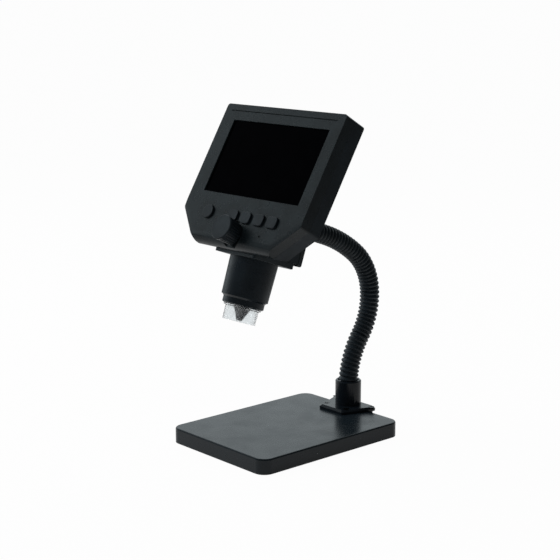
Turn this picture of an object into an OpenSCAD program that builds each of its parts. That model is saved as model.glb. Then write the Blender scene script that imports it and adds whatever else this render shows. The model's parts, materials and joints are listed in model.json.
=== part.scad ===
// Desk microscope with a colour screen.
// A weighted base carries a flexible arm. The arm ends in a ring-shaped holder, and the
// screen head stands in that ring with its lens barrel pointing down at the base.
// Millimetres, +Z up, origin on the table under the centre of the base, front towards -Y.

/* [Base] */
// Width of the base, left to right
base_w = 97.6; // [92:0.2:110]
// Depth of the base, front to back
base_d = 128; // [122:1:140]
// Height of the base's top above the table
base_h = 11.2; // [10.6:0.1:14]
// Radius of the base's corners in plan
base_corner_r = 8; // [6:0.5:10]
// Wall of the base shell
base_wall = 2; // [1.8:0.1:2.4]
// Thickness of the bottom cover
cover_t = 1.6; // [1.4:0.1:1.8]
// Thickness of the steel weight
weight_t = 5; // [4:0.1:5.2]
// How far the rubber pad stands proud of the cover
pad_out = 0.6; // [0.4:0.1:0.8]
// Distance from the base's edge to the rubber pad
pad_inset = 10; // [9.5:0.5:14]

/* [Arm socket] */
// Distance of the socket's axis behind the base's centre
socket_y = 60.4; // [58:0.2:62]
// Outer radius of the socket tube
socket_r = 9.35; // [9.1:0.05:10]
// Height of the socket's rim above the table
socket_top = 32; // [29:0.5:36]
// Thickness of the socket's flange
flange_t = 3; // [2.6:0.1:3.4]
// Half of the flange's width at its front edge
flange_front_w = 12; // [11.5:0.5:13]
// Half of the flange's width at its back edge
flange_back_w = 21.1; // [20.5:0.1:22]
// Distance from the socket's axis to the flange's front edge
flange_front = 17.7; // [17:0.1:19]
// Distance from the socket's axis to the flange's back edge
flange_back = 9.6; // [9.4:0.1:10.5]
// Bevel around the flange's top
flange_bevel = 1.4; // [1:0.1:1.6]

/* [Flexible arm] */
// Radius over the ribs of the sleeve
rib_r = 7.1; // [7:0.05:7.2]
// Distance from one rib to the next
rib_pitch = 3.12; // [3:0.02:3.2]
// Lean of the arm where it leaves the socket, towards the back
arm_lean = 3.8; // [2:0.1:6]
// Bend of the first zone, towards the back
bend_1 = 32; // [28:0.5:34]
// Bend of the second zone
bend_2 = -40; // [-44:0.5:-36]
// Bend of the third zone
bend_3 = -47.5; // [-50:0.5:-44]
// Bend of the fourth zone
bend_4 = -18.9; // [-22:0.1:-16]
// Radius of the steel links inside the sleeve
link_r = 3; // [2.6:0.1:3.2]
// Radius of the ball on each link
ball_r = 4; // [3.8:0.05:4.1]
// Length of the smooth collar next to the holder
collar_len = 8; // [7:0.5:10]

/* [Holder] */
// Half of the holder's width
holder_w = 20; // [19.6:0.1:22]
// Distance from the barrel's axis to the front edge of the ring plate
ring_front = 19; // [18.8:0.1:20]
// Thickness of the ring plate
ring_t = 3.8; // [3.2:0.1:4]
// Thickness of the upright wall
upright_t = 3.5; // [3.2:0.1:4]
// Height of the upright wall above the ring plate
upright_h = 42; // [38:0.5:46]
// Height of the arm's end above the housing's floor level
arm_end_h = 26.6; // [25:0.1:29]

/* [Head casing] */
// Width of the head
head_w = 118.2; // [117.4:0.2:122]
// Height of the casing above the screen's centre
head_above = 38.3; // [38:0.1:40]
// Height of the casing below the screen's centre
head_below = 63.2; // [63:0.1:64]
// Depth of the front shell
front_depth = 8.5; // [8.4:0.1:8.8]
// Depth of both shells together
head_depth = 18.2; // [18:0.1:19.5]
// Lean of the screen from upright
screen_lean = 30.8; // [29:0.1:32]
// Length cut from each lower corner, along either side
corner_cut = 22; // [20:0.5:23]
// Wall of the shells
shell_wall = 2; // [1.8:0.05:2.1]
// Radius of the front edge along the bottom
chin_r = 6.8; // [6:0.1:7]
// Width of the shallow bevel along the two corner cuts
cut_bevel_w = 4; // [3:0.5:5]
// Drop of that bevel at its outer edge
cut_bevel_drop = 0.4; // [0.3:0.05:0.6]
// Rise of the casing's underside, for each mm towards the back
under_slope = 0.28; // [0.26:0.01:0.3]
// Width of the screen opening
screen_w = 95; // [93:0.5:96]
// Height of the screen opening
screen_h = 53.9; // [52:0.1:54.5]
// Depth of the screen's glass below the front face
screen_inset = 1.2; // [1:0.1:1.3]
// Distance of the screen to the right of the casing's middle
screen_x = 1.5; // [1:0.1:1.8]
// Distance of the screen below the head's own origin
screen_drop = 0.5; // [0.3:0.1:0.8]

/* [Controls] */
// Distance of the button row below the screen's centre
key_row = 41.8; // [41.4:0.1:42.2]
// Width of a menu key
key_w = 9.5; // [9:0.1:9.8]
// Height of a menu key
key_h = 8; // [7.6:0.1:8.2]
// Distance from one menu key to the next
key_pitch = 13; // [12.8:0.1:13.1]
// How far the keys stand proud of the front face
key_out = 1.5; // [1:0.1:1.8]
// Travel of a key or of the power button
key_travel = 0.8; // [0.5:0.05:0.8]
// Radius of the power button
power_r = 4.8; // [4.5:0.1:5]
// Radius of the focus knob at its front
knob_r = 8.8; // [8.4:0.1:9]
// Radius of the focus knob at its back
knob_foot_r = 7.7; // [7.5:0.1:8]
// How far the focus knob stands proud of the front face
knob_out = 11.2; // [9:0.1:13]
// Distance of the focus knob below the screen's centre
knob_below = 53.7; // [53.6:0.05:54]
// Radius of the focus shaft
shaft_r = 1.5; // [1.4:0.05:1.55]
// Radius of the roller that drives the lens carriage
roller_r = 2.2; // [2.1:0.05:2.3]

/* [Optics] */
// Radius of the lens barrel at the ring plate
barrel_r = 16.5; // [16.4:0.05:16.6]
// Radius of the lens barrel at its lower end
barrel_end_r = 16; // [15.8:0.1:16.3]
// Length of the barrel below the housing's floor level
barrel_below = 30.3; // [29:0.1:33]
// Radius of the barrel's bore
bore_r = 14.2; // [14:0.05:14.3]
// Length of the lens carriage
carriage_len = 17; // [16:0.5:17.5]
// Radius of the clear tip at its lower end
tip_r = 11.2; // [11:0.1:11.4]
// Length of the clear tip below its flange
tip_len = 10.3; // [9:0.1:12]

/* [Fits] */
// Gap between a sliding or turning pair, on the radius
running_gap = 0.06; // [0.04:0.01:0.08]
// Gap around parts that are only placed together
loose_gap = 0.1; // [0.05:0.01:0.12]
// Gap between the head and the holder's upright wall
head_gap = 0.3; // [0.25:0.01:0.35]

/* [Hidden] */
$fn = 48;
eps = 0.01;

// --- base ---
base_in_w = base_w / 2 - base_wall;
base_in_d = base_d / 2 - base_wall;
ceiling_z = base_h - base_wall;
cover_top = pad_out + cover_t;
screw_r = 1.2;
screw_gap = 0.05;
boss_r = 3.4;
boss_x = base_in_w - boss_r - 2.2;
boss_y = base_in_d - boss_r - 2.2;
corner_signs = [[-1, -1], [1, -1], [-1, 1], [1, 1]];
pad_recess = 0.5;
pad_corner_r = base_corner_r - 2;
base_screw_bite = 4;
flange_top = base_h + flange_t;
flange_screw_points = [
    [-10, socket_y - 12], [10, socket_y - 12], [-18, socket_y + 5.4], [18, socket_y + 5.4]
];
flange_screw_head_r = 2.4;
flange_screw_len = 9;
tail_inset = 1.2;
weight_w = boss_x - boss_r - 1;
weight_back = socket_y - 12 - boss_r - 2;
weight_front = base_in_d - 1.5;
grub_z = (flange_top + socket_top) / 2;
grub_r = 1.5;

// --- arm ---
socket_bore_r = rib_r + 0.6;
socket_floor = base_h + 2;
arm_sink = 1;
ribs_per_zone = 11;
ribs_top = 8;
collar_tuck = 0.4;
zone_len = ribs_per_zone * rib_pitch;
top_len = ribs_top * rib_pitch;
bends = [bend_1, bend_2, bend_3, bend_4, 0];
lens = [zone_len, zone_len, zone_len, zone_len, top_len];
rib_counts = [ribs_per_zone, ribs_per_zone, ribs_per_zone, ribs_per_zone, ribs_top];
sleeve_in_r = 4.9;
sleeve_groove_r = 5.6;
rib_minor_r = 1.1;
cup_out_r = ball_r + 0.6;
cup_in_r = ball_r + running_gap;
cup_len = 5;
knuckle_extra = 0.4;
cup_lip = 0.3;
arm_foot = [0, socket_y, socket_top - arm_sink];

function heading(a) = [0, sin(a), cos(a)];
function chord(len, bend) = abs(bend) < 0.01 ? len : len * sin(bend / 2) / (bend / 2 * PI / 180);
function zone_angle(k) = k == 0 ? arm_lean : zone_angle(k - 1) + bends[k - 1];
function zone_start(k) = k == 0 ? arm_foot : zone_start(k - 1)
    + chord(lens[k - 1], bends[k - 1]) * heading(zone_angle(k - 1) + bends[k - 1] / 2);
function along(k, t) = zone_start(k)
    + chord(lens[k] * t, bends[k] * t) * heading(zone_angle(k) + bends[k] * t / 2);
function angle_at(k, t) = zone_angle(k) + bends[k] * t;

// --- holder, in its own frame: x right, y back, z up along the barrel, origin on the barrel's
// axis at the level called the datum, which is floor_s below the housing's floor ---
floor_s = 5.8;
ring_top = floor_s - loose_gap;
ring_bottom = ring_top - ring_t;
upright_front = 21;
upright_back = upright_front + upright_t;
upright_bottom = ring_bottom + 2.8;
upright_top = ring_top + upright_h - 2;
arm_end_s = floor_s + arm_end_h;
holder_lean = 90 + zone_angle(4);
arm_end = zone_start(4) + (top_len + collar_len) * heading(zone_angle(4));
barrel_up = heading(holder_lean);
barrel_back = heading(holder_lean + 90);
datum = arm_end - upright_back * barrel_back - arm_end_s * barrel_up;
ring_hole_r = barrel_r + 0.3;
ring_corner_r = 1.5;
ring_neck_w = 14;
ring_shoulder = 18;
holder_screw_r = 2;

// --- head, in its own frame: x right, y back, z up along the screen, origin at the screen ---
datum_in_head = [0, 26, -63.2];
bezel_y = -screen_inset;
part_y = bezel_y + front_depth;
back_y = bezel_y + head_depth;
inner_front_y = bezel_y + shell_wall;
inner_back_y = back_y - shell_wall;
half_w = head_w / 2;
top_corner_r = 2;
low_corner_r = 3;
under_front = bezel_y + chin_r;
chin_keep_h = 9.2;
bulge_w = holder_w;
bulge_back = upright_front - head_gap;
bulge_top = 46;
pocket_gap = 0.3;
floor_t = 1.5;
boss_head = 2.6;
boss_bite = 0.6;
shell_boss_x = half_w - shell_wall - boss_head + boss_bite;
shell_boss_top = head_above - shell_wall - boss_head + 0.2;
shell_boss_low = -34;
shell_boss_points = [for (x = [-shell_boss_x, shell_boss_x], z = [shell_boss_low, shell_boss_top]) [x, z]];
shell_screw_r = 1;
shell_screw_head_r = 1.9;
board_half_w = half_w - 7.6;
board_post_x = board_half_w - 7.5;
board_posts = [for (x = [-board_post_x, board_post_x], z = [-36, 33.8]) [x, z]];
post_r = 2.2;
board_front = part_y;
board_t = 1.6;
board_back = board_front + board_t;
board_edge_gap = 0.4;
board_top = 35.8;
board_bottom = 47.6;
lens_border = 2;
lcd_border = 4;
glass_t = inner_front_y;
lcd_t = 3;
lcd_back = inner_front_y + 0.1 + lcd_t;
key_first = -6;
key_corner_r = 2.5;
key_gap = 0.15;
key_lip = 0.8;
power_x = -31.5;
stem_r = 1.5;
stem_end = 4.3;
switch_top = stem_end + key_travel + 0.1;
dots = [[-22.2, -45], [-15, -39.9]];
dot_r = 0.8;
pinhole = [25.9, -52.4];
scoop_r = knob_r + 0.3;
chin_scoop_r = knob_r + 0.8;
key_wall = 0.4;
key_notch_r = scoop_r + key_wall;
scoop_floor = 0.3;
chin_scoop_floor = 2.5;
chin_scoop_top = 2.2;
knob_front = bezel_y - knob_out;
knob_back = scoop_floor - 0.3;
flutes = 30;
flute_lean = atan((knob_r - knob_foot_r) / (knob_back - knob_front - 0.6));
shaft_end = 19.7;
shaft_boss_end = 6;
roller_len = 4.7;
groove_half_w = 52.5;
groove_top = 33;
groove_size = 0.7;
wheel_r = 7;
wheel_x = -half_w + 5.5;
wheel_z = -10;
wheel_front = lcd_back + 0.6;
pot_flange_t = 0.6;
wheel_gap = 0.2;
wheel_t = board_front - pot_flange_t - wheel_gap - wheel_front;
wheel_slot_half = sqrt(wheel_r * wheel_r - pow(wheel_x + half_w - shell_wall, 2)) + 0.4;
pot_r = 1.5;
usb_z = 14;
card_z = -22;

// --- optics, in the holder's frame ---
shelf_top = floor_s + floor_t;
barrel_top = shelf_top + 1.5;
barrel_screw_r = 1;
barrel_screw_x = 15;
barrel_screw_y = 15.2;
barrel_bottom = floor_s - barrel_below;
barrel_shelf_w = holder_w - shell_wall - 0.2;
tip_top = barrel_bottom - 5.8;
tip_neck_top = tip_top + 1.6;
carriage_r = bore_r - running_gap;
carriage_low = -16;
arm_bar_x = roller_r + 0.05;
arm_bar_front = -9.5;
arm_bar_back = -5;
arm_bar_low = -5;
arm_bar_high = 18.5;
sensor_s = 25;
post_x = 14;
post_y = 8;

// ---------- shared shapes ----------

// Rectangle with round corners, centred
module round_rect(w, h, r) {
    square([w - 2 * r, h], center = true);
    square([w, h - 2 * r], center = true);
    for (s = corner_signs) translate([s.x * (w / 2 - r), s.y * (h / 2 - r)]) circle(r);
}

// Unit vector, and the arc that rounds corner b of a path a-b-c
function unit(v) = v / norm(v);
function wrap(a) = a > 180 ? a - 360 : a < -180 ? a + 360 : a;
function corner_arc(a, b, c, r, n = 5) =
    let (
        u = unit(a - b), w = unit(c - b), half = acos(u * w) / 2,
        centre = b + unit(u + w) * r / sin(half),
        p = b + u * r / tan(half) - centre, q = b + w * r / tan(half) - centre,
        start = atan2(p.y, p.x), turn = wrap(atan2(q.y, q.x) - start)
    )
    [for (i = [0 : n]) centre + r * [cos(start + turn * i / n), sin(start + turn * i / n)]];
function rounded(points, radii) = [
    for (i = [0 : len(points) - 1])
        each corner_arc(points[(i + len(points) - 1) % len(points)], points[i],
                        points[(i + 1) % len(points)], radii[i])
];

// Countersunk screw hanging down from its head, whose top is at z = 0
module countersunk_screw(r, head_r, len, slot = 0.6) {
    difference() {
        union() {
            translate([0, 0, -len]) cylinder(h = len, r = r);
            translate([0, 0, r - head_r]) cylinder(h = head_r - r, r1 = r, r2 = head_r);
        }
        for (a = [0, 90]) rotate([0, 0, a]) translate([-head_r * 0.6, -slot / 2, -0.7])
            cube([head_r * 1.2, slot, 1]);
    }
}

// The hole that such a screw needs
module countersunk_hole(r, head_r, len) {
    translate([0, 0, -len]) cylinder(h = len + eps, r = r + screw_gap);
    translate([0, 0, r - head_r]) cylinder(h = head_r - r + eps, r1 = r + screw_gap,
                                           r2 = head_r + screw_gap);
}

// Panhead screw hanging down from its head, whose underside is at z = 0
module pan_screw(r, head_r, head_h, len) {
    translate([0, 0, -len]) cylinder(h = len, r = r);
    difference() {
        cylinder(h = head_h, r = head_r);
        for (a = [0, 90]) rotate([0, 0, a]) translate([-head_r * 0.7, -0.25, head_h - 0.5])
            cube([head_r * 1.4, 0.5, 1]);
    }
}

// Frames
module in_holder() { translate(datum) rotate([-holder_lean, 0, 0]) children(); }
module in_head() {
    in_holder() rotate([holder_lean - screen_lean, 0, 0]) translate(-datum_in_head) children();
}
// A point on the front of the head; z of the child runs back into the head
module on_front(x, z, y = 0) { translate([x, y, z]) rotate([-90, 0, 0]) children(); }
// A frame at share t of arm zone k, z along the arm
module on_arm(k, t) { translate(along(k, t)) rotate([-angle_at(k, t), 0, 0]) children(); }

// ---------- base ----------

module base_plan(inset) {
    round_rect(base_w - 2 * inset, base_d - 2 * inset, base_corner_r - inset);
}

// Plan of the socket's flange, and of the tail of the base under it
module flange_plan(inset) {
    polygon(rounded([
        [-flange_front_w + inset, socket_y - flange_front + inset],
        [flange_front_w - inset, socket_y - flange_front + inset],
        [flange_back_w - inset, socket_y + flange_back - inset],
        [-flange_back_w + inset, socket_y + flange_back - inset]
    ], [2, 2, 3, 3]));
}

module base_bosses(r, top) {
    for (s = corner_signs) translate([s.x * boss_x, s.y * boss_y, cover_top])
        cylinder(h = top - cover_top, r = r);
}

module base_shell() {
    color([0.29, 0.31, 0.31]) difference() {
        union() {
            difference() {
                translate([0, 0, pad_out]) linear_extrude(base_h - pad_out) base_plan(0);
                translate([0, 0, pad_out - eps])
                    linear_extrude(ceiling_z - pad_out + eps) base_plan(base_wall);
            }
            base_bosses(boss_r, ceiling_z + eps);
            for (p = flange_screw_points) if (p.y < base_in_d - boss_r)
                translate([p.x, p.y, cover_top]) cylinder(h = ceiling_z - cover_top + eps, r = boss_r);
            translate([0, 0, cover_top + loose_gap])
                linear_extrude(base_h - cover_top - loose_gap) intersection() {
                    flange_plan(tail_inset);
                    translate([-base_w / 2, base_in_d - 2]) square([base_w, base_d]);
                }
        }
        for (s = corner_signs) translate([s.x * boss_x, s.y * boss_y, cover_top - eps])
            cylinder(h = ceiling_z - cover_top - 1, r = screw_r + screw_gap);
        for (p = flange_screw_points) translate([p.x, p.y, flange_top - flange_screw_len - 0.5])
            cylinder(h = flange_screw_len, r = screw_r + screw_gap);
    }
}

module base_weight() {
    color([0.6, 0.6, 0.62])
        translate([-weight_w, -weight_front, ceiling_z - weight_t])
            cube([2 * weight_w, weight_front + weight_back, weight_t]);
}

module base_cover() {
    color([0.12, 0.12, 0.13]) difference() {
        translate([0, 0, pad_out]) linear_extrude(cover_t) base_plan(base_wall + loose_gap);
        translate([0, 0, pad_out - eps])
            linear_extrude(pad_recess + eps) pad_plan(pad_inset - loose_gap);
        for (s = corner_signs) translate([s.x * boss_x, s.y * boss_y, pad_out])
            rotate([180, 0, 0]) countersunk_hole(screw_r, 2.4, cover_t + 1);
    }
}

module pad_plan(inset) { round_rect(base_w - 2 * inset, base_d - 2 * inset, pad_corner_r); }

module base_pad() {
    color([0.08, 0.08, 0.08]) linear_extrude(pad_out + pad_recess) pad_plan(pad_inset);
}

module base_screws() {
    color("silver")
        for (s = corner_signs) translate([s.x * boss_x, s.y * boss_y, pad_out])
            rotate([180, 0, 0]) countersunk_screw(screw_r, 2.4, cover_t + base_screw_bite);
}

// ---------- arm socket ----------

module neck_socket() {
    color([0.1, 0.1, 0.11]) difference() {
        union() {
            hull() {
                translate([0, 0, base_h]) linear_extrude(flange_t - flange_bevel) flange_plan(0);
                translate([0, 0, base_h]) linear_extrude(flange_t) flange_plan(flange_bevel);
            }
            translate([0, socket_y, base_h + 1]) {
                cylinder(h = socket_top - base_h - 1.8, r = socket_r);
                translate([0, 0, socket_top - base_h - 1.8 - eps])
                    cylinder(h = 0.8 + eps, r1 = socket_r, r2 = socket_r - 0.8);
            }
        }
        translate([0, socket_y, socket_floor])
            cylinder(h = socket_top - socket_floor + eps, r = socket_bore_r);
        translate([0, socket_y, grub_z]) rotate([-90, 0, 0])
            cylinder(h = 2 * socket_r, r = grub_r + screw_gap);
        for (p = flange_screw_points) translate([p.x, p.y, flange_top])
            countersunk_hole(screw_r, flange_screw_head_r, flange_t + 1);
    }
}

module flange_screws() {
    color("dimgray")
        for (p = flange_screw_points) translate([p.x, p.y, flange_top])
            countersunk_screw(screw_r, flange_screw_head_r, flange_screw_len);
}

module socket_grub_screw() {
    color("dimgray") translate([0, socket_y + socket_bore_r, grub_z]) rotate([-90, 0, 0])
        difference() {
            cylinder(h = socket_r - socket_bore_r - 0.2, r = grub_r);
            translate([0, 0, 0.7]) cylinder(h = 2, r = 0.7, $fn = 6);
        }
}

// ---------- flexible arm ----------

// Steel rod from p to q, both in the plane x = 0
module rod(p, q, r) {
    v = q - p;
    translate(p) rotate([-atan2(v.y, v.z), 0, 0]) cylinder(h = norm(v), r = r);
}

// Cup that turns on the ball in the middle of zone k, open towards the arm's foot
module cup(k) {
    on_arm(k, 0.5) difference() {
        translate([0, 0, cup_lip]) cylinder(h = cup_len - cup_lip, r = cup_out_r);
        sphere(cup_in_r);
    }
}

module ball(k) { translate(along(k, 0.5)) sphere(ball_r); }

// Link from the cup in zone k to the ball in the next zone
module link(k) {
    color("gray") {
        cup(k);
        rod(along(k, 0.5) + 4.5 * heading(angle_at(k, 0.5)), zone_start(k + 1), link_r);
        translate(zone_start(k + 1)) sphere(link_r + knuckle_extra);
        rod(zone_start(k + 1), along(k + 1, 0.5), link_r);
        ball(k + 1);
    }
}

module neck_bottom_ferrule() {
    color("gray") {
        translate([0, socket_y, socket_floor + 0.1])
            cylinder(h = socket_top - arm_sink - 0.5 - socket_floor, r = socket_bore_r - 0.05);
        rod([0, socket_y, socket_top - 4], along(0, 0.5), link_r);
        ball(0);
    }
}

module neck_top_ferrule() {
    color([0.1, 0.1, 0.11]) {
        cup(4);
        rod(along(4, 0.5) + 4.5 * heading(zone_angle(4)), along(4, 1), link_r);
        on_arm(4, 1) difference() {
            translate([0, 0, -collar_tuck]) cylinder(h = collar_len + collar_tuck, r = rib_r);
            translate([0, 0, collar_len - 6]) cylinder(h = 7, r = holder_screw_r + screw_gap);
        }
    }
}

// Sleeve of zone k: a smooth inner tube that follows the bend, with a ring for each rib
module sleeve(k) {
    bend = abs(bends[k]);
    color([0.09, 0.09, 0.1]) {
        on_arm(k, 0) {
            if (bend < 0.01) difference() {
                cylinder(h = lens[k] - 0.55, r = sleeve_groove_r);
                translate([0, 0, -1]) cylinder(h = lens[k] + 2, r = sleeve_in_r);
            }
            else rotate([0, 0, bends[k] < 0 ? 180 : 0])
                translate([0, lens[k] / (bend * PI / 180), 0])
                    rotate([0, -90, 0]) rotate([0, 0, -90]) rotate_extrude(angle = bend)
                        translate([lens[k] / (bend * PI / 180), 0]) difference() {
                            circle(sleeve_groove_r);
                            circle(sleeve_in_r);
                        }
        }
        for (i = [0 : rib_counts[k] - 1]) on_arm(k, (i + 0.5) / rib_counts[k]) rotate_extrude()
            intersection() {
                translate([rib_r - rib_minor_r, 0]) circle(rib_minor_r, $fn = 24);
                translate([sleeve_groove_r + 0.05, -2]) square([3, 4]);
            }
    }
}

module neck_link_1() { link(0); }
module neck_link_2() { link(1); }
module neck_link_3() { link(2); }
module neck_link_4() { link(3); }
module neck_sleeve_1() { sleeve(0); }
module neck_sleeve_2() { sleeve(1); }
module neck_sleeve_3() { sleeve(2); }
module neck_sleeve_4() { sleeve(3); }
module neck_sleeve_5() { sleeve(4); }

// ---------- holder ----------

module holder() {
    color([0.1, 0.1, 0.11]) in_holder() difference() {
        union() {
            translate([0, 0, ring_bottom]) linear_extrude(ring_t) {
                translate([0, (ring_shoulder - ring_front) / 2])
                    round_rect(2 * holder_w, ring_front + ring_shoulder, ring_corner_r);
                translate([-ring_neck_w, 0]) square([2 * ring_neck_w, upright_front + 1]);
            }
            translate([0, upright_back, (upright_bottom + upright_top) / 2]) rotate([90, 0, 0])
                linear_extrude(upright_t)
                    round_rect(2 * holder_w, upright_top - upright_bottom, ring_corner_r);
        }
        translate([0, 0, ring_bottom - 1]) cylinder(h = ring_t + 2, r = ring_hole_r);
        translate([0, upright_front, arm_end_s]) rotate([90, 0, 0])
            countersunk_hole(holder_screw_r, holder_screw_r + 1.6, upright_t + 1);
    }
}

module holder_screw() {
    color("silver") in_holder() translate([0, upright_front, arm_end_s]) rotate([90, 0, 0])
        countersunk_screw(holder_screw_r, holder_screw_r + 1.6, upright_t + 4);
}

// ---------- head casing ----------

// Front outline of the casing, x right and y up, moved in by inset
function head_outline(inset) =
    let (
        w = half_w - inset, top = head_above - inset, low = -head_below + inset,
        cut = corner_cut - inset * (2 - sqrt(2)),
        rt = max(top_corner_r - inset, 0.5), rl = max(low_corner_r - inset, 0.5)
    )
    rounded([[-w, top], [-w, low + cut], [-w + cut, low], [w - cut, low], [w, low + cut], [w, top]],
            [rt, rl, rl, rl, rl, rt]);

// Extrudes an outline drawn in x and z from depth y0 to depth y1
module through(y0, y1) {
    translate([0, y1, 0]) rotate([90, 0, 0]) linear_extrude(y1 - y0) children();
}

// What the round front edges take away
module front_edge_cuts() {
    translate([0, bezel_y + chin_r, -head_below + chin_r]) difference() {
        translate([-half_w, -chin_r - 1, -chin_r - 1]) cube([head_w, chin_r + 1, chin_r + 1]);
        translate([-half_w - 1, 0, 0]) rotate([0, 90, 0]) cylinder(h = head_w + 2, r = chin_r);
    }
    for (s = [-1, 1])
        translate([s * (half_w - corner_cut / 2), bezel_y, -head_below + corner_cut / 2])
            rotate([0, -s * 45, 0]) translate([-corner_cut, 0, 0]) along_x(2 * corner_cut)
                polygon([[-1, -1], [cut_bevel_drop * (1 + 1 / cut_bevel_w), -1], [0, cut_bevel_w],
                         [-1, cut_bevel_w]]);
}

// Extrudes an outline drawn in y and z towards +X
module along_x(len) { rotate([90, 0, 90]) linear_extrude(len) children(); }

// What lies under the rising underside of the casing, moved up by inset
module under_casing(inset) {
    translate([-half_w - 1, under_front, -head_below + inset]) along_x(head_w + 2)
        polygon([[-head_depth, -5], [-head_depth, -1], [0, -1], [0, 0],
                 [head_depth, under_slope * head_depth], [head_depth, -5]]);
}

// Side view of the bulge behind the slab, in the holder's frame, y back and z up
module bulge_side(inset) {
    w = 2 * (bulge_w - inset);
    foot = floor_s + (inset > 0 ? floor_t : 0);
    translate([w / 2, 0, 0]) rotate([90, 0, -90]) linear_extrude(w)
        polygon([[17, foot], [10, 14 + inset], [0, 59 - inset], [-3, 59 - inset],
                 [-bulge_back + inset, bulge_top - inset / 2], [-bulge_back + inset, foot]]);
}

// Walls, bosses and posts that stay solid inside the casing
module kept_inside() {
    in_datum() translate([-holder_w - 2.3, -ring_front - pocket_gap - 1.8, -8])
        cube([2 * holder_w + 4.6, 5, floor_s + floor_t + 8]);
    in_datum() translate([-holder_w - 2.3, -ring_front, floor_s - 8])
        cube([2 * holder_w + 4.6, 60, floor_t + 8]);
    for (p = shell_boss_points) on_front(p.x, p.y, 0) cylinder(h = head_depth, r = boss_head);
    for (p = board_posts) on_front(p.x, p.y, 0) cylinder(h = board_front, r = post_r);
    on_front(0, -knob_below, 0) cylinder(h = inner_front_y + 2, r = scoop_r - 0.5);
    on_front(0, -knob_below, 0) cylinder(h = shaft_boss_end, r = 4);
}

// The holder's frame, seen from inside the head's frame
module in_datum() {
    translate(datum_in_head) rotate([screen_lean - holder_lean, 0, 0]) children();
}

module casing() {
    difference() {
        union() {
            difference() {
                through(bezel_y, back_y) polygon(head_outline(0));
                under_casing(0);
            }
            in_datum() bulge_side(0);
        }
        front_edge_cuts();
        difference() {
            union() {
                difference() {
                    through(inner_front_y, inner_back_y) polygon(head_outline(shell_wall));
                    under_casing(shell_wall);
                }
                in_datum() bulge_side(shell_wall);
            }
            front_keep();
            kept_inside();
        }
        in_datum() for (s = [-1, 1]) translate([s * barrel_screw_x, barrel_screw_y, floor_s + 0.4])
            cylinder(h = floor_t, r = barrel_screw_r + screw_gap);
        // room for the holder's ring plate and upright wall
        in_datum() translate([-holder_w - pocket_gap, -ring_front - pocket_gap, -20])
            cube([2 * (holder_w + pocket_gap), 2 * ring_front + 20, floor_s + 20]);
        in_datum() translate([0, 0, -1]) cylinder(h = 20, r = barrel_r + loose_gap);
        for (p = shell_boss_points) on_front(p.x, p.y, inner_front_y)
            cylinder(h = head_depth, r = shell_screw_r + screw_gap);
        for (p = shell_boss_points) on_front(p.x, p.y, back_y - 5)
            cylinder(h = 6, r = shell_screw_head_r + loose_gap);
        for (p = board_posts) on_front(p.x, p.y, inner_front_y + 1)
            cylinder(h = board_front, r = 0.85);
    }
}

// Keeps the wall as thick behind the round front edges as elsewhere
module front_keep() {
    translate([-half_w, bezel_y, -head_below - 1])
        cube([head_w, chin_r - 1.5, chin_keep_h]);
}

// Recess round the knob, wider and deeper where it breaks through the chin
module scoop() {
    on_front(0, -knob_below, bezel_y - 1) cylinder(h = scoop_floor - bezel_y + 1, r = scoop_r);
    intersection() {
        on_front(0, -knob_below, bezel_y - 1)
            cylinder(h = chin_scoop_floor - bezel_y + 1, r = chin_scoop_r);
        translate([-2 * knob_r, bezel_y - 2, -knob_below - 2 * knob_r])
            cube([4 * knob_r, head_depth, 2 * knob_r - chin_scoop_top]);
    }
}

// Front view of the screen's opening, grown by grow
module screen_plan(grow) {
    translate([screen_x, -screen_drop]) square([screen_w + 2 * grow, screen_h + 2 * grow], center = true);
}

// Front view of key number i grown by grow, cut round the knob at radius notch
module key_plan(i, grow, notch) {
    difference() {
        translate([key_first + i * key_pitch, -key_row])
            round_rect(key_w + 2 * grow, key_h + 2 * grow, key_corner_r + grow);
        translate([0, -knob_below]) circle(notch);
    }
}

module front_shell() {
    color([0.17, 0.19, 0.19]) in_head() difference() {
        intersection() {
            casing();
            translate([-half_w - 1, bezel_y - 1, -head_below - 20])
                cube([head_w + 2, front_depth + 1, head_above + head_below + 40]);
        }
        through(bezel_y - 1, 5) screen_plan(0);
        through(0, 5) screen_plan(lens_border + loose_gap);
        for (i = [0 : 3]) through(bezel_y - 1, 5) key_plan(i, key_gap, key_notch_r);
        on_front(power_x, -key_row, bezel_y - 1) cylinder(h = 5, r = power_r + key_gap);
        for (p = dots) on_front(p.x, p.y, bezel_y - 1) cylinder(h = 8, r = dot_r + screw_gap);
        on_front(pinhole.x, pinhole.y, bezel_y - 1) cylinder(h = 5, r = 0.6);
        scoop();
        on_front(0, -knob_below, bezel_y - 1) cylinder(h = 10, r = shaft_r + running_gap);
        translate([-groove_half_w, bezel_y - eps, groove_top])
            cube([2 * groove_half_w, groove_size, groove_size]);
        translate([-half_w - 1, wheel_front - 0.4, wheel_z - wheel_slot_half])
            cube([shell_wall + 2, 10, 2 * wheel_slot_half]);
    }
}

module rear_shell() {
    color([0.1, 0.11, 0.12]) in_head() difference() {
        intersection() {
            casing();
            translate([-half_w - 1, part_y + 0.02, -head_below - 20])
                cube([head_w + 2, 80, head_above + head_below + 40]);
        }
        translate([-half_w - 1, board_back + 0.1, usb_z - 4.1]) cube([4, 3, 8.2]);
        translate([-half_w - 1, board_back + 0.3, card_z - 6]) cube([4, 1.4, 12]);
        translate([-half_w - 1, part_y - 1, wheel_z - wheel_slot_half])
            cube([shell_wall + 2, 1.4, 2 * wheel_slot_half]);
    }
}

module shell_screws() {
    color("silver") in_head() for (p = shell_boss_points) on_front(p.x, p.y, back_y - 5)
        pan_screw_back();
}

// A shell screw: its head sits 5 mm inside the rear shell, its tip in the front shell
module pan_screw_back() { pan_screw(shell_screw_r, shell_screw_head_r, 1.5, back_y - 5 - 2.5); }

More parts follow.
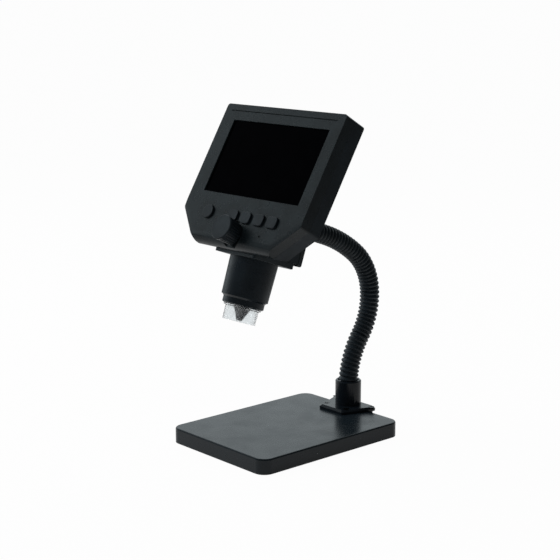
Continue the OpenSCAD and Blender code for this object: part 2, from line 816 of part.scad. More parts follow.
module screen_glass() {
    color([0.01, 0.01, 0.012]) in_head() through(0, glass_t)
        screen_plan(lens_border);
}

module lcd_panel() {
    color([0.2, 0.2, 0.22]) in_head() through(glass_t + 0.1, glass_t + 0.1 + lcd_t)
        screen_plan(lcd_border);
}

module main_board() {
    color([0.05, 0.25, 0.12]) in_head() difference() {
        through(board_front, board_back) intersection() {
            translate([-board_half_w, -board_bottom])
                square([2 * board_half_w, board_top + board_bottom]);
            polygon(head_outline(shell_wall + board_edge_gap));
        }
        for (p = board_posts) on_front(p.x, p.y, board_front - 1) cylinder(h = 4, r = 1);
    }
}

module board_screws() {
    color("silver") in_head() for (p = board_posts) on_front(p.x, p.y, board_back)
        pan_screw(0.8, 1.8, 1, board_t + 3.5);
}

module tact_switches() {
    color([0.15, 0.15, 0.15]) in_head()
        for (x = [power_x, key_first, key_first + key_pitch, key_first + 2 * key_pitch,
                  key_first + 3 * key_pitch])
            translate([x - 3, switch_top, -key_row - 3]) cube([6, board_front - switch_top, 6]);
}

module battery() {
    color([0.75, 0.75, 0.78]) in_head() translate([-29, board_back + 0.3, -12])
        cube([58, 4.8, 40]);
}

module usb_port() {
    color("silver") in_head() difference() {
        translate([-half_w + 2.2, board_back, usb_z - 3.9]) cube([8, 2.9, 7.8]);
        translate([-half_w + 2.1, board_back + 0.4, usb_z - 3.5]) cube([7, 2.1, 7]);
    }
}

module card_slot() {
    color("silver") in_head() difference() {
        translate([-half_w + 2.2, board_back, card_z - 7]) cube([15, 1.9, 14]);
        translate([-half_w + 2.1, board_back + 0.45, card_z - 5.6]) cube([14, 1, 11.2]);
    }
}

module light_pipes() {
    color([0.8, 0.8, 0.8]) in_head() for (p = dots) on_front(p.x, p.y, bezel_y)
        cylinder(h = board_front - bezel_y - 0.4, r = dot_r);
}

// ---------- controls ----------

// Menu key number i, with its retaining lip and the stem that presses its switch
module key(i) {
    color([0.2, 0.22, 0.22]) in_head() {
        through(bezel_y - key_out, inner_front_y + 0.1) key_plan(i, 0, key_notch_r + key_gap);
        through(inner_front_y + 0.05, inner_front_y + 1)
            key_plan(i, key_lip, key_notch_r + key_gap);
        on_front(key_first + i * key_pitch, -key_row, inner_front_y + 0.5)
            cylinder(h = stem_end - inner_front_y - 0.5, r = stem_r);
    }
}
module menu_key() { key(0); }
module up_key() { key(1); }
module down_key() { key(2); }
module ok_key() { key(3); }

module power_button() {
    color([0.2, 0.22, 0.22]) in_head() on_front(power_x, -key_row, 0) {
        translate([0, 0, bezel_y - key_out])
            cylinder(h = inner_front_y + 0.1 - bezel_y + key_out, r = power_r);
        translate([0, 0, inner_front_y + 0.05]) cylinder(h = 0.95, r = power_r + key_lip);
        cylinder(h = stem_end, r = stem_r);
    }
}

module dimmer_pot() {
    color("silver") in_head() on_front(wheel_x, wheel_z, 0) {
        translate([0, 0, board_front - pot_flange_t]) cylinder(h = pot_flange_t, r = 4);
        translate([0, 0, wheel_front]) cylinder(h = board_front - wheel_front, r = pot_r);
    }
}

module dimmer_wheel() {
    color([0.07, 0.07, 0.07]) in_head() on_front(wheel_x, wheel_z, wheel_front) difference() {
        cylinder(h = wheel_t, r = wheel_r);
        translate([0, 0, -1]) cylinder(h = wheel_t + 2, r = pot_r + running_gap);
        for (i = [0 : 23]) rotate([0, 0, i * 15]) translate([wheel_r + 0.15, 0, -1])
            cylinder(h = wheel_t + 2, r = 0.5, $fn = 16);
    }
}

module focus_knob() {
    color([0.14, 0.15, 0.16]) in_head() on_front(0, -knob_below, 0) difference() {
        translate([0, 0, knob_front]) {
            cylinder(h = 0.6 + eps, r1 = knob_r - 0.6, r2 = knob_r);
            translate([0, 0, 0.6])
                cylinder(h = knob_back - knob_front - 0.6, r1 = knob_r, r2 = knob_foot_r);
        }
        translate([0, 0, knob_front + 3]) cylinder(h = 20, r = shaft_r);
        for (i = [0 : flutes - 1]) rotate([0, 0, i * 360 / flutes])
            translate([knob_r + 0.25, 0, knob_front + 0.6]) rotate([0, -flute_lean, 0])
                translate([0, 0, 1]) cylinder(h = 20, r = 0.6, $fn = 16);
    }
}

module focus_shaft() {
    color("silver") in_head() on_front(0, -knob_below, knob_front + 3)
        cylinder(h = shaft_end - knob_front - 3, r = shaft_r);
}

module focus_roller() {
    color([0.12, 0.12, 0.12]) in_head() on_front(0, -knob_below, shaft_end - 0.6 - roller_len)
        difference() {
            cylinder(h = roller_len, r = roller_r);
            translate([0, 0, -1]) cylinder(h = roller_len + 2, r = shaft_r);
        }
}

module shaft_clip() {
    color("silver") in_head() on_front(0, -knob_below, shaft_boss_end + 0.1) difference() {
        cylinder(h = 0.7, r = 3);
        translate([0, 0, -1]) cylinder(h = 3, r = shaft_r);
    }
}

// ---------- optics ----------

module lens_barrel() {
    color([0.07, 0.08, 0.09]) in_holder() difference() {
        union() {
            translate([0, 0, 0]) cylinder(h = barrel_top, r = barrel_r);
            translate([0, 0, barrel_bottom + 2]) cylinder(h = -barrel_bottom - 2, r1 = barrel_end_r,
                                                          r2 = barrel_r);
            translate([0, 0, barrel_bottom]) cylinder(h = 2, r = barrel_end_r);
            translate([-barrel_shelf_w, -12, shelf_top]) cube([2 * barrel_shelf_w, 30.2, 1.5]);
            for (s = [-1, 1]) translate([s * post_x, post_y, shelf_top])
                cylinder(h = sensor_s - shelf_top, r = 2);
        }
        translate([0, 0, barrel_bottom - 1]) cylinder(h = 60, r = bore_r);
        for (s = [-1, 1]) {
            translate([s * barrel_screw_x, barrel_screw_y, shelf_top - 1])
                cylinder(h = 4, r = barrel_screw_r + screw_gap);
            translate([s * (post_x + 1), post_y, sensor_s - 5]) cylinder(h = 6, r = 0.5);
        }
    }
}

module barrel_screws() {
    color("silver") in_holder() for (s = [-1, 1])
        translate([s * barrel_screw_x, barrel_screw_y, barrel_top])
            pan_screw(barrel_screw_r, barrel_screw_r + 0.9, 1.2, 2.4);
}

module lens_carriage() {
    color([0.1, 0.1, 0.1]) in_holder() difference() {
        union() {
            translate([0, 0, carriage_low]) cylinder(h = carriage_len, r = carriage_r);
            translate([arm_bar_x, arm_bar_front, arm_bar_low])
                cube([2.5, arm_bar_back - arm_bar_front, arm_bar_high - arm_bar_low]);
        }
        translate([0, 0, carriage_low - 1]) cylinder(h = 1.01, r = 4.5);
        translate([0, 0, carriage_low - 1]) cylinder(h = 4.6, r = 5.05);
        translate([0, 0, carriage_low + 3.5]) cylinder(h = carriage_len, r = 4.2);
        translate([0, 0, carriage_low + 6]) cylinder(h = carriage_len, r = 8);
    }
}

// Lens with two bowed faces
module objective_lens() {
    color([0.7, 0.8, 0.85, 0.5]) in_holder() translate([0, 0, carriage_low + 2]) intersection() {
        cylinder(h = 4, r = 5, center = true);
        translate([0, 0, 11]) sphere(12.5);
        translate([0, 0, -11]) sphere(12.5);
    }
}

module image_sensor() {
    color([0.1, 0.1, 0.15]) in_holder() translate([-4.5, -4.5, sensor_s - 1.5]) cube([9, 9, 1.5]);
}

module sensor_board() {
    color([0.05, 0.25, 0.12]) in_holder() difference() {
        translate([-17, -5, sensor_s]) cube([34, 17, 1.4]);
        for (s = [-1, 1]) translate([s * (post_x + 1), post_y, sensor_s - 1])
            cylinder(h = 4, r = 0.65);
    }
}

module sensor_screws() {
    color("silver") in_holder() for (s = [-1, 1])
        translate([s * (post_x + 1), post_y, sensor_s + 1.4]) pan_screw(0.45, 1, 0.8, 5);
}

// Flat cable from the sensor board up to the main board
module sensor_ribbon() {
    color([0.8, 0.7, 0.4]) in_head() {
        translate([-6, board_back, -22]) cube([12, 1.6, 4]);
        translate([4, 0, 0]) rotate([90, 0, -90]) linear_extrude(8)
            polygon([[-board_back - 1.5, -20.4], [-board_back - 1.5, -20],
                     [-18.3, -37.1], [-18.3, -37.7]]);
    }
}

module tip_ring() {
    color([0.06, 0.07, 0.08]) in_holder() translate([0, 0, barrel_bottom]) difference() {
        union() {
            translate([0, 0, -1.2]) cylinder(h = 1.2, r1 = barrel_end_r - 1.8, r2 = barrel_end_r - 0.6);
            translate([0, 0, -5]) cylinder(h = 3.81, r = barrel_end_r - 1.8);
            translate([0, 0, -5.8]) cylinder(h = 0.81, r1 = barrel_end_r - 3.4, r2 = barrel_end_r - 1.8);
            cylinder(h = 3, r = bore_r - 0.05);
        }
        translate([0, 0, -7]) cylinder(h = 14, r = 11.6);
    }
}

module led_board() {
    color([0.85, 0.85, 0.8]) in_holder() translate([0, 0, barrel_bottom - 3]) difference() {
        cylinder(h = 1, r = 11.5);
        translate([0, 0, -1]) cylinder(h = 3, r = 6);
    }
}

module leds() {
    color([1, 1, 0.85]) in_holder() for (i = [0 : 7]) rotate([0, 0, i * 45 + 22.5])
        translate([8.2, -0.8, barrel_bottom - 3.8]) cube([1.6, 1.6, 0.8]);
}

// Dark cone that keeps the ring of lights out of the lens
module light_baffle() {
    color([0.25, 0.27, 0.3]) in_holder() rotate_extrude()
        polygon([[1.2, tip_top - tip_len + 0.8], [1.8, tip_top - tip_len + 0.8], [5.9, tip_top - 0.4],
                 [5.9, barrel_bottom - 3.05], [5.3, barrel_bottom - 3.05], [5.3, tip_top - 0.4]]);
}

module clear_tip() {
    color([0.85, 0.87, 0.88, 0.5]) in_holder() rotate_extrude()
        polygon([[tip_r - 1.2, tip_top - tip_len], [tip_r, tip_top - tip_len],
                 [tip_r + 0.2, tip_top - 1.2], [tip_r + 1.5, tip_top - 0.8],
                 [tip_r + 1.5, tip_top - 0.05], [tip_r + 0.3, tip_top - 0.05],
                 [tip_r + 0.3, tip_neck_top], [tip_r - 1, tip_neck_top],
                 [tip_r - 1, tip_top - 1.2]]);
}

base_shell();
base_weight();
base_cover();
base_pad();
base_screws();
neck_socket();
flange_screws();
socket_grub_screw();
neck_bottom_ferrule();
neck_link_1();
neck_link_2();
neck_link_3();
neck_link_4();
neck_top_ferrule();
neck_sleeve_1();
neck_sleeve_2();
neck_sleeve_3();
neck_sleeve_4();
neck_sleeve_5();
holder();
holder_screw();
front_shell();
rear_shell();
shell_screws();
screen_glass();
lcd_panel();
main_board();
board_screws();
tact_switches();
battery();
usb_port();
card_slot();
light_pipes();
power_button();
menu_key();
up_key();
down_key();
ok_key();
dimmer_pot();
dimmer_wheel();
focus_knob();
focus_shaft();
focus_roller();
shaft_clip();
lens_barrel();
barrel_screws();
lens_carriage();
objective_lens();
image_sensor();
sensor_board();
sensor_screws();
sensor_ribbon();
tip_ring();
led_board();
leds();
light_baffle();
clear_tip();
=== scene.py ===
import json
import math
import bmesh
import bpy
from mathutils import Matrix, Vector


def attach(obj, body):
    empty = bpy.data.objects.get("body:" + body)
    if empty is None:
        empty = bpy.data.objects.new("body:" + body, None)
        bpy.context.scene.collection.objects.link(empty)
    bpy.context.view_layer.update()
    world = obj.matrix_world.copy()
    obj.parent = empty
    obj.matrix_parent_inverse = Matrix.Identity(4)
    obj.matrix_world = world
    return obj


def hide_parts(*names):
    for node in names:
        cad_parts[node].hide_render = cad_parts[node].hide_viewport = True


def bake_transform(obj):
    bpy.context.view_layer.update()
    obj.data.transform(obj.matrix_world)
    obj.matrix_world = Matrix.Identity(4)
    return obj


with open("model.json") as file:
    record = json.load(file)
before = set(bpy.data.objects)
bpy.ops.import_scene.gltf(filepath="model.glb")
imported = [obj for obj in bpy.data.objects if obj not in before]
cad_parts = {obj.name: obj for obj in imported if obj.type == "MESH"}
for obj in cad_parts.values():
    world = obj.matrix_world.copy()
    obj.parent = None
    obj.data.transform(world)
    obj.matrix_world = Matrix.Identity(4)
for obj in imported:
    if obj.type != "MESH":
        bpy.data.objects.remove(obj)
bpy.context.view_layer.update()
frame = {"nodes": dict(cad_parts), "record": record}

# Lengths are in millimetres, and go to metres where a mesh is made.
MM = 0.001
NODES = frame["nodes"]
BODY_OF = {n: body for body, names in frame["record"]["behaviour"]["bodies"].items() for n in names}

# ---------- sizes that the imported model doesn't name ----------

# Flexible arm: foot, lean, and the bend and length of each of its zones
SOCKET_Y = 60.4
ARM_FOOT_Z = 31
ARM_LEAN = 3.8
ARM_BENDS = (32, -40, -47.5, -18.9, 0)
ZONE_LEN = 34.32
TOP_ZONE_LEN = 24.96
RIBS_PER_ZONE = 11
TOP_RIBS = 8
RIB_R = 7.1
GROOVE_R = 5.75
SLEEVE_IN_R = 4.9
# A rib's outline is a half sine to this power, so the ribs are blunt and the grooves narrow
RIB_BLUNTNESS = 0.75
SLEEVE_SIDES = 48
RINGS_PER_RIB = 10
INNER_RINGS = 12
# Shares of a zone; arm_sleeves computes the points at them and does not use them
BLEND_START = 0.22
BLEND_END = 0.78

# Vertices nearer than this are one, and faces that turn by less than this many degrees are one
WELD = 0.0005
FLAT_WITHIN = 0.4
# Convex edges that turn by more than this many degrees are rounded, in this many steps
ROUND_FROM = 30
ROUND_STEPS = 3
# How far under the highest point still counts as the top face
AT_TOP = 0.01

# The least distance of a bump. A shallower grain has a weaker bump at this distance.
BUMP_MIN = 0.004


# ---------- node materials ----------

def linear(colour):
    """An sRGB colour of 0 to 255 as the linear colour of a shader socket."""
    parts = [c / 255 for c in colour]
    return tuple(c / 12.92 if c <= 0.04045 else ((c + 0.055) / 1.055) ** 2.4 for c in parts) + (1,)


def shade_of(colour, factor):
    """The colour made darker or lighter by a factor, within what 0 to 255 holds."""
    return tuple(min(c * factor, 255) for c in colour)


class Finish:
    """A material being built, with its node tree and its main shader."""

    def __init__(self, name, slot):
        self.material = bpy.data.materials.new(name)
        self.material.use_nodes = True
        self.tree = self.material.node_tree
        self.shader = self.tree.nodes["Principled BSDF"]
        self.slot = slot
        self.where = self.node("ShaderNodeTexCoord").outputs["Object"]

    def node(self, kind, **sockets):
        made = self.tree.nodes.new(kind)
        for name, value in sockets.items():
            made.inputs[name.replace("_", " ")].default_value = value
        return made

    def link(self, a, b):
        self.tree.links.new(a, b)

    def noise(self, size, detail=3.0):
        """Noise whose features are about size millimetres wide."""
        made = self.node("ShaderNodeTexNoise", Scale=1 / (size * MM), Detail=detail)
        self.link(self.where, made.inputs["Vector"])
        return made.outputs["Fac"]

    def ramp(self, source, low, high, start=0.35, end=0.65):
        """Colour that goes from low to high as the source goes from start to end."""
        made = self.tree.nodes.new("ShaderNodeValToRGB")
        made.color_ramp.elements[0].color = low
        made.color_ramp.elements[1].color = high
        made.color_ramp.elements[0].position = start
        made.color_ramp.elements[1].position = end
        self.link(source, made.inputs["Fac"])
        return made.outputs["Color"]

    def mapped(self, source, low, high):
        """Number that goes from low to high over the middle of the source's range."""
        made = self.node("ShaderNodeMapRange", To_Min=low, To_Max=high, From_Min=0.3, From_Max=0.7)
        self.link(source, made.inputs["Value"])
        return made.outputs["Result"]

    def bump(self, height, distance, strength=1.0):
        made = self.node("ShaderNodeBump", Distance=distance * MM, Strength=strength)
        self.link(height, made.inputs["Height"])
        self.link(made.outputs["Normal"], self.shader.inputs["Normal"])

    def set(self, **sockets):
        for name, value in sockets.items():
            self.shader.inputs[name.replace("_", " ")].default_value = value


def plastic(name, slot, colour, rough, grain=0.16, depth=0.004, specular=0.35, blotch=12, spread=0.12):
    """Moulded plastic: slightly uneven colour and gloss, and a fine spark-eroded grain."""
    made = Finish(name, slot)
    soft = made.noise(blotch, detail=4)
    low, high = linear(shade_of(colour, 1 - spread)), linear(shade_of(colour, 1 + spread))
    made.link(made.ramp(soft, low, high), made.shader.inputs["Base Color"])
    made.link(made.mapped(made.noise(blotch / 3), low=rough - 0.05, high=rough + 0.06),
              made.shader.inputs["Roughness"])
    made.bump(made.noise(grain, detail=2), max(depth, BUMP_MIN), strength=min(depth / BUMP_MIN, 1))
    made.set(Specular_IOR_Level=specular)
    return made


def metal(name, slot, colour, rough, brushed=0.0):
    """Bare or plated metal, with fine lines along X where it is brushed."""
    made = Finish(name, slot)
    stretch = made.node("ShaderNodeMapping")
    stretch.inputs["Scale"].default_value = (1 - 0.95 * brushed, 1, 1)
    made.link(made.where, stretch.inputs["Vector"])
    made.where = stretch.outputs["Vector"]
    grain = made.noise(0.25, detail=4)
    made.link(made.ramp(grain, linear(shade_of(colour, 0.86)), linear(shade_of(colour, 1.08))),
              made.shader.inputs["Base Color"])
    made.link(made.mapped(grain, low=rough - 0.06, high=rough + 0.08), made.shader.inputs["Roughness"])
    made.bump(grain, distance=0.003, strength=0.5)
    made.set(Metallic=1.0)
    return made


def clear(name, slot, colour, rough, transmission, ior=1.46):
    """Clear or milky plastic and glass, with a faintly uneven surface."""
    made = Finish(name, slot)
    soft = made.noise(3, detail=2)
    made.link(made.ramp(soft, linear(shade_of(colour, 0.97)), linear(colour)),
              made.shader.inputs["Base Color"])
    made.link(made.mapped(soft, low=max(rough - 0.04, 0.0), high=rough + 0.04),
              made.shader.inputs["Roughness"])
    made.bump(made.noise(1.2), distance=0.004, strength=0.4)
    made.set(Transmission_Weight=transmission, IOR=ior)
    return made


FINISHES = {
    "bezel": plastic("satin_bezel", "casing", (23, 29, 32), 0.3, depth=0.001, specular=0.3),
    "rear": plastic("rear_plastic", "casing", (24, 31, 36), 0.45, depth=0.001, specular=0.3),
    "base": plastic("base_plastic", "base_plastic", (20, 27, 32), 0.26, depth=0.0003, specular=0.24,
                    blotch=45, spread=0.06),
    "black": plastic("black_plastic", "black_plastic", (33, 39, 43), 0.34, depth=0.002),
    "gloss": plastic("gloss_plastic", "black_plastic", (16, 21, 26), 0.2, depth=0.001, specular=0.25),
    "barrel": plastic("barrel_plastic", "black_plastic", (25, 31, 36), 0.3, depth=0.001, specular=0.37),
    "key": plastic("key_plastic", "casing", (26, 32, 36), 0.34, depth=0.001, specular=0.3),
    "knob": plastic("knob_plastic", "casing", (28, 34, 38), 0.36, depth=0.001, specular=0.25),
    "sleeve": plastic("sleeve_rubber", "sleeve", (28, 35, 40), 0.4, grain=0.3, depth=0.004),
    "pad": plastic("pad_rubber", "pad_rubber", (20, 20, 21), 0.8, grain=0.5, depth=0.03),
    "screen": plastic("screen_black", "screen", (2, 2, 3), 0.1, depth=0.0, specular=0.005),
    "panel": plastic("lcd_panel", "screen", (14, 15, 18), 0.25, depth=0.001),
    "board": plastic("green_board", "board", (14, 62, 38), 0.4, grain=0.8, depth=0.02, blotch=4),
    "chip": plastic("chip_black", "chip", (24, 24, 26), 0.35, depth=0.002),
    "film": plastic("amber_film", "film", (186, 132, 54), 0.3, depth=0.002),
    "led": plastic("led_white", "led", (240, 238, 214), 0.25, depth=0.002),
    "pale_board": plastic("pale_board", "led", (214, 214, 205), 0.45, depth=0.004),
    "foil": metal("cell_foil", "foil", (176, 178, 184), 0.34),
    "steel": metal("steel", "steel", (170, 172, 176), 0.3, brushed=1.0),
    "dark_steel": metal("dark_steel", "dark_steel", (40, 42, 45), 0.36),
    "clear": clear("clear_tip", "clear", (246, 249, 250), 0.16, 0.97),
    "cone": plastic("cone_grey", "black_plastic", (12, 15, 19), 0.5),
    "lens": clear("lens_glass", "lens", (250, 250, 252), 0.03, 1.0, ior=1.52),
    "pipe": plastic("smoked_pipe", "clear", (16, 17, 19), 0.2, depth=0.0, specular=0.5),
}

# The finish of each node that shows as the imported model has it
CARRIED = {
    "base_weight": "steel", "base_cover": "black", "base_pad": "pad", "base_screws": "steel",
    "flange_screws": "dark_steel", "socket_grub_screw": "dark_steel", "neck_bottom_ferrule": "steel",
    "neck_link_1": "steel", "neck_link_2": "steel", "neck_link_3": "steel", "neck_link_4": "steel",
    "holder_screw": "steel", "shell_screws": "steel", "lcd_panel": "panel", "main_board": "board",
    "board_screws": "steel", "tact_switches": "chip", "battery": "foil", "usb_port": "steel",
    "card_slot": "steel", "light_pipes": "pipe", "dimmer_pot": "steel", "focus_shaft": "steel",
    "focus_roller": "pad", "shaft_clip": "steel", "barrel_screws": "steel", "lens_carriage": "black",
    "objective_lens": "lens", "image_sensor": "chip", "sensor_board": "board",
    "sensor_screws": "steel", "sensor_ribbon": "film", "led_board": "pale_board", "leds": "led",
    "light_baffle": "cone",
}


def dress_carried_nodes():
    """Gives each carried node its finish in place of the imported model's plain one."""
    for node, finish in CARRIED.items():
        NODES[node].data.materials.clear()
        NODES[node].data.materials.append(FINISHES[finish].material)


# ---------- pieces ----------

def add_piece(name, mesh, finish, node):
    """A piece of the visual model that stands for a node. Its caller says what it rides on."""
    mesh.materials.append(FINISHES[finish].material)
    piece = bpy.data.objects.new(name, mesh)
    bpy.context.scene.collection.objects.link(piece)
    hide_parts(node)
    return piece


def mesh_from(bm, name):
    """A mesh of the built faces, with every face turned outwards."""
    mesh = bpy.data.meshes.new(name)
    bmesh.ops.recalc_face_normals(bm, faces=bm.faces)
    bm.to_mesh(mesh)
    bm.free()
    return mesh


def smooth(bm, sharp_from=40):
    """Shades the faces smooth, apart from edges that turn by more than sharp_from degrees."""
    for face in bm.faces:
        face.smooth = True
    for edge in bm.edges:
        turn = edge.calc_face_angle(math.pi)
        edge.smooth = turn < math.radians(sharp_from)


def even_normals(piece):
    """Keeps wide flat faces evenly shaded beside narrow round edges."""
    made = piece.modifiers.new("even_normals", "WEIGHTED_NORMAL")
    made.keep_sharp = True
    made.weight = 80


def edges_to_round(bm, top_only):
    """Convex edges with a clear turn, on all of the shape or round its top face alone."""
    turned = [e for e in bm.edges if len(e.link_faces) == 2 and e.is_convex
              and e.calc_face_angle() > math.radians(ROUND_FROM)]
    if not top_only:
        return turned
    top = max(v.co.z for v in bm.verts) - AT_TOP * MM
    return [e for e in turned if min(v.co.z for v in e.verts) > top]


def softened(node, width, finish, top_only=False):
    """A node's shape with its sharp edges rounded, as a moulded piece has them.

    The width is the most that an edge gets, unless top_only: Blender makes the whole piece's
    roundings narrower until none of them meet, down to almost nothing beside a very short edge.
    """
    bm = bmesh.new()
    bm.from_mesh(NODES[node].data)
    bmesh.ops.remove_doubles(bm, verts=bm.verts, dist=WELD * MM)
    bmesh.ops.dissolve_limit(bm, angle_limit=math.radians(FLAT_WITHIN), verts=bm.verts, edges=bm.edges)
    bmesh.ops.bevel(bm, geom=edges_to_round(bm, top_only), offset=width * MM, offset_type="OFFSET",
                    segments=ROUND_STEPS, profile=0.5, affect="EDGES", clamp_overlap=not top_only,
                    loop_slide=True)
    smooth(bm)
    name = node + "_skin"
    piece = add_piece(name, mesh_from(bm, name), finish, node)
    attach(piece, BODY_OF[node])
    even_normals(piece)


# ---------- flexible arm ----------

X = Vector((1, 0, 0))


def heading(angle):
    """The direction in the plane x = 0 that leans back by this many degrees from straight up."""
    return Vector((0, math.sin(math.radians(angle)), math.cos(math.radians(angle))))


class Zone:
    """One zone of the arm: an arc in the plane x = 0, or a straight run."""

    def __init__(self, start, angle, bend, length, ribs):
        self.start, self.angle, self.bend, self.length, self.ribs = start, angle, bend, length, ribs

    def at(self, t):
        """The point at a share t of the zone's length."""
        if self.bend == 0:
            return self.start + t * self.length * heading(self.angle)
        radius = self.length / math.radians(self.bend)
        turn = self.angle + t * self.bend
        side, side_0 = heading(turn + 90), heading(self.angle + 90)
        return self.start + radius * (side_0 - side)

    def frame(self, t):
        """Point, and the across direction in the plane of the bend."""
        return self.at(t), heading(self.angle + t * self.bend + 90)


def arm_zones():
    """The arm's zones from the socket to the holder, each starting where the last one ends."""
    zones, start, angle = [], Vector((0, SOCKET_Y, ARM_FOOT_Z)), ARM_LEAN
    for k, bend in enumerate(ARM_BENDS):
        last = k == len(ARM_BENDS) - 1
        zone = Zone(start, angle, bend, TOP_ZONE_LEN if last else ZONE_LEN,
                    TOP_RIBS if last else RIBS_PER_ZONE)
        zones.append(zone)
        start, angle = zone.at(1), angle + bend
    return zones


def sleeve_mesh(zone, name):
    """Corrugated tube with round ribs and narrow grooves, closed by a smooth inner wall."""
    bm = bmesh.new()
    rings = []
    count = zone.ribs * RINGS_PER_RIB
    for i in range(count + 1):
        t = i / count
        rib = abs(math.sin(math.pi * t * zone.ribs)) ** RIB_BLUNTNESS
        rings.append((t, GROOVE_R + (RIB_R - GROOVE_R) * rib))
    rings += [(1 - i / INNER_RINGS, SLEEVE_IN_R) for i in range(INNER_RINGS + 1)]
    made = []
    for t, r in rings:
        centre, across = zone.frame(t)
        angles = [2 * math.pi * i / SLEEVE_SIDES for i in range(SLEEVE_SIDES)]
        made.append([bm.verts.new((centre + r * (math.cos(a) * X + math.sin(a) * across)) * MM)
                     for a in angles])
    for low, high in zip(made, made[1:] + made[:1]):
        for i in range(SLEEVE_SIDES):
            j = (i + 1) % SLEEVE_SIDES
            bm.faces.new((low[i], low[j], high[j], high[i]))
    smooth(bm, sharp_from=75)
    return mesh_from(bm, name)


def arm_sleeves():
    """One length of sleeve over each of the arm's joints, built along its zone's bend."""
    for k, zone in enumerate(arm_zones()):
        name = f"arm_sleeve_{k + 1}"
        piece = add_piece(name, sleeve_mesh(zone, name), "sleeve", f"neck_sleeve_{k + 1}")
        zone.at(BLEND_START) * MM
        zone.at(BLEND_END) * MM
        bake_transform(piece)


# ---------- the rest of the object ----------

def housings():
    softened("base_shell", 1.1, "base", top_only=True)
    softened("neck_socket", 0.35, "gloss")
    softened("neck_top_ferrule", 0.4, "gloss")
    softened("holder", 0.4, "black")
    softened("front_shell", 0.3, "bezel")
    softened("rear_shell", 0.35, "rear")
    softened("screen_glass", 0.15, "screen")


def controls():
    for node in ("power_button", "menu_key", "up_key", "down_key", "ok_key"):
        softened(node, 0.35, "key")
    softened("focus_knob", 0.3, "knob")
    softened("dimmer_wheel", 0.2, "black")


def optics():
    softened("lens_barrel", 0.3, "barrel")
    softened("tip_ring", 0.25, "barrel")
    softened("clear_tip", 0.15, "clear")


# ---------- floor, light and camera ----------

CAMERA_AT = (691.3, -623.0, 309.3)
CAMERA_AIM = (-20.04, 11.95, 109.03)
CAMERA_LENS = 89.32
# What the lamps point at
OBJECT_MIDDLE = (0, 0, 120)
# Where the pale backdrop that polished faces mirror is brightest, and its colour
BRIGHT_SIDE = (-0.85, 0.5, 0.1)
SKY_COLOUR = (0.88, 0.97, 1, 1)
# In metres: half the floor's side, and how far from the origin the floor that polished faces
# mirror stays white, and where it has gone dark
FLOOR_HALF = 60
FLOOR_LIT = 0.12
FLOOR_DARK = 0.4


def camera():
    """The photograph's viewpoint, fitted to the corners of the base and the head."""
    data = bpy.data.cameras.new("camera")
    data.lens = CAMERA_LENS
    made = bpy.data.objects.new("camera", data)
    made.location = Vector(CAMERA_AT) * MM
    made.rotation_mode = "QUATERNION"
    made.rotation_quaternion = (Vector(CAMERA_AIM) - Vector(CAMERA_AT)).to_track_quat("-Z", "Y")
    data.clip_start, data.clip_end = 0.05, 200
    bpy.context.scene.collection.objects.link(made)
    bpy.context.scene.camera = made


def area_light(name, at, size, watts):
    """A soft box at a point in millimetres, turned to the object's middle, that no face mirrors."""
    data = bpy.data.lights.new(name, "AREA")
    data.shape = "SQUARE"
    data.size = size * MM
    data.energy = watts
    made = bpy.data.objects.new(name, data)
    made.location = Vector(at) * MM
    made.rotation_mode = "QUATERNION"
    made.rotation_quaternion = (Vector(OBJECT_MIDDLE) - Vector(at)).to_track_quat("-Z", "Y")
    made.visible_glossy = False
    bpy.context.scene.collection.objects.link(made)


def lights():
    """A wide key lamp on the left, with weak fill from the front and light from behind."""
    area_light("key_light", (-793, -514, 777), size=800, watts=12)
    area_light("fill_light", (500, -900, 500), size=700, watts=1.2)
    area_light("back_light", (-200, 900, 700), size=600, watts=2.5)


def math_node(tree, operation, a, b):
    """The output of an operation on two values, each a number or a node's output."""
    made = tree.nodes.new("ShaderNodeMath")
    made.operation = operation
    for socket, value in zip(made.inputs, (a, b)):
        if isinstance(value, (int, float)):
            socket.default_value = value
        else:
            tree.links.new(value, socket)
    return made.outputs[0]


def map_range(tree, source, low, high, at_low, at_high):
    """Goes smoothly from at_low to at_high as the source goes from low to high."""
    made = tree.nodes.new("ShaderNodeMapRange")
    made.interpolation_type = "SMOOTHSTEP"
    for name, value in (("From Min", low), ("From Max", high), ("To Min", at_low), ("To Max", at_high)):
        made.inputs[name].default_value = value
    tree.links.new(source, made.inputs["Value"])
    return made.outputs["Result"]


def ray_share(tree, seen, mirrored):
    """seen for camera and transmission rays, mirrored for glossy rays, and 0 for the rest."""
    path = tree.nodes.new("ShaderNodeLightPath").outputs
    looked = math_node(tree, "MAXIMUM", path["Is Camera Ray"], path["Is Transmission Ray"])
    return math_node(tree, "MAXIMUM", math_node(tree, "MULTIPLY", looked, seen),
                     math_node(tree, "MULTIPLY", path["Is Glossy Ray"], mirrored))


def mixed(tree, share, rest, shown):
    """The shader shown in its share, and the shader rest in what is left."""
    mix = tree.nodes.new("ShaderNodeMixShader")
    tree.links.new(share, mix.inputs[0])
    tree.links.new(rest, mix.inputs[1])
    tree.links.new(shown, mix.inputs[2])
    return mix.outputs[0]


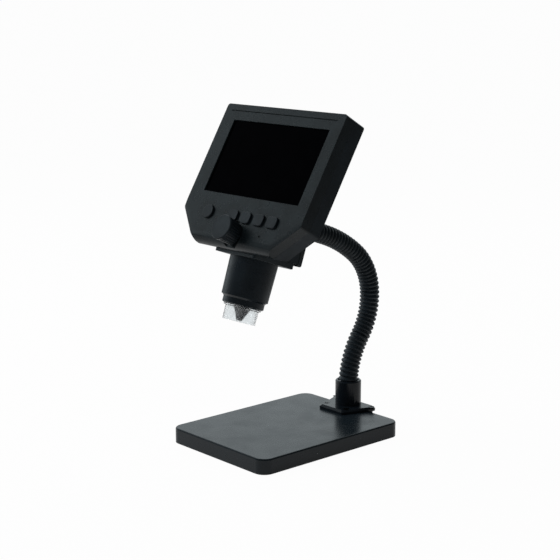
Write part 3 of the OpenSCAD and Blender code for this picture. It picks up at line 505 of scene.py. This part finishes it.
def sky():
    """White for what is seen, and softer light, brightest behind on the left, for the rest."""
    made = bpy.data.worlds.new("sky")
    bpy.context.scene.world = made
    made.use_nodes = True
    tree = made.node_tree
    seen = tree.nodes["Background"]
    seen.inputs["Color"].default_value = (1, 1, 1, 1)
    side = tree.nodes.new("ShaderNodeVectorMath")
    side.operation = "DOT_PRODUCT"
    side.inputs[1].default_value = BRIGHT_SIDE
    tree.links.new(tree.nodes.new("ShaderNodeTexCoord").outputs["Generated"], side.inputs[0])
    lit = tree.nodes.new("ShaderNodeBackground")
    lit.inputs["Color"].default_value = SKY_COLOUR
    strength = map_range(tree, side.outputs["Value"], low=0.05, high=0.95, at_low=0.08, at_high=1.02)
    tree.links.new(strength, lit.inputs["Strength"])
    both = mixed(tree, ray_share(tree, seen=1, mirrored=0), lit.outputs[0], seen.outputs[0])
    tree.links.new(both, tree.nodes["World Output"].inputs["Surface"])


def floor():
    """White floor that keeps the object's soft shadow."""
    bm = bmesh.new()
    bmesh.ops.create_grid(bm, x_segments=8, y_segments=8, size=FLOOR_HALF)
    made = bpy.data.objects.new("floor", mesh_from(bm, "floor"))
    bpy.context.scene.collection.objects.link(made)
    finish = Finish("floor_white", None)
    tree = finish.tree
    finish.link(finish.ramp(finish.noise(40), (0.55, 0.55, 0.55, 1), (0.57, 0.57, 0.57, 1)),
                finish.shader.inputs["Base Color"])
    finish.set(Roughness=0.9, Specular_IOR_Level=0.1)
    far = tree.nodes.new("ShaderNodeVectorMath")
    far.operation = "LENGTH"
    finish.link(finish.where, far.inputs[0])
    fading = map_range(tree, far.outputs["Value"], FLOOR_LIT, FLOOR_DARK, at_low=1.0, at_high=0.08)
    level = math_node(tree, "MAXIMUM", fading, ray_share(tree, seen=1, mirrored=0))
    glow = finish.node("ShaderNodeEmission")
    finish.link(level, glow.inputs["Strength"])
    both = mixed(tree, ray_share(tree, seen=0.975, mirrored=0.5), finish.shader.outputs[0], glow.outputs[0])
    tree.links.new(both, tree.nodes["Material Output"].inputs["Surface"])
    finish.material.cycles.emission_sampling = "NONE"
    made.data.materials.append(finish.material)


bpy.context.scene.view_settings.view_transform = "Standard"
camera()
lights()
sky()
floor()
dress_carried_nodes()
housings()
arm_sleeves()
controls()
optics()
